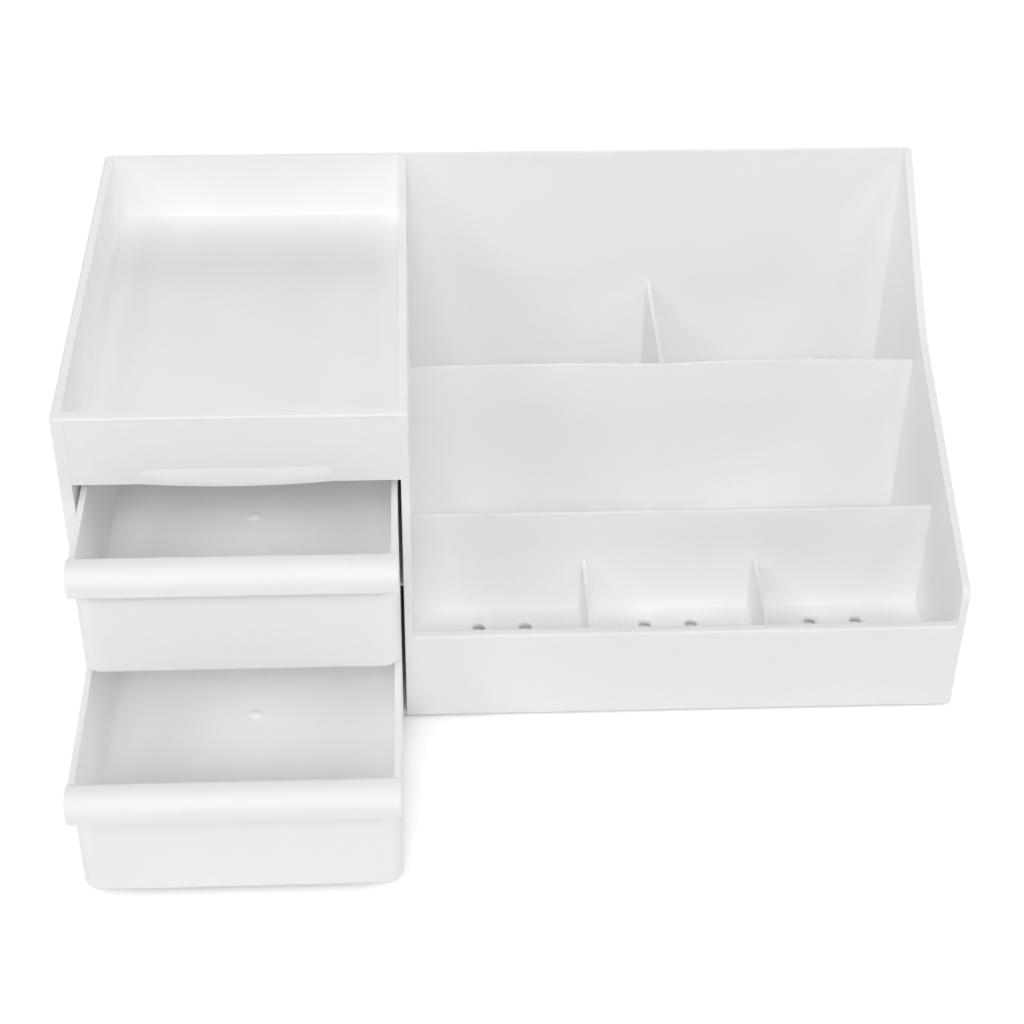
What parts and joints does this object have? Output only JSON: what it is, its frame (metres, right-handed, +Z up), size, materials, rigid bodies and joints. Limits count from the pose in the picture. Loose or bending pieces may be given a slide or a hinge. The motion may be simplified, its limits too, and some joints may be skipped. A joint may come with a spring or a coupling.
{
  "type": "cosmetic organizer box",
  "caption": "White desk organizer box with an open tray above pull-out drawers on the left and stepped open pockets under a swept side wall on the right.",
  "frame": {"origin": "on the table, under the middle of the box's extents with the drawers as far open as at rest", "axes": "+X to the right along the front, the front faces -Y, +Z up"},
  "size_m": [0.31, 0.2594, 0.136],
  "materials": {
    "case": "fine satin moulding",
    "drawer": "fine satin moulding",
    "plate": "plain moulding",
    "foot": "soft pad"
  },
  "bodies": {
    "case_body": {"case": "case", "base_plate": "plate", "drawer_shelf": "plate", "foot_front_left": "foot", "foot_front_middle": "foot", "foot_front_right": "foot", "foot_back_left": "foot", "foot_back_middle": "foot", "foot_back_right": "foot"},
    "upper_drawer_body": {"upper_drawer": "drawer"},
    "lower_drawer_body": {"lower_drawer": "drawer"}
  },
  "joints": [
    {"name": "upper_drawer_slide", "type": "slide", "parent": "case_body", "child": "upper_drawer_body", "axis": [0, -1, 0], "range_m": [-0.0388, 0.0812]},
    {"name": "lower_drawer_slide", "type": "slide", "parent": "case_body", "child": "lower_drawer_body", "axis": [0, -1, 0], "range_m": [-0.0895, 0.0305]}
  ]
}
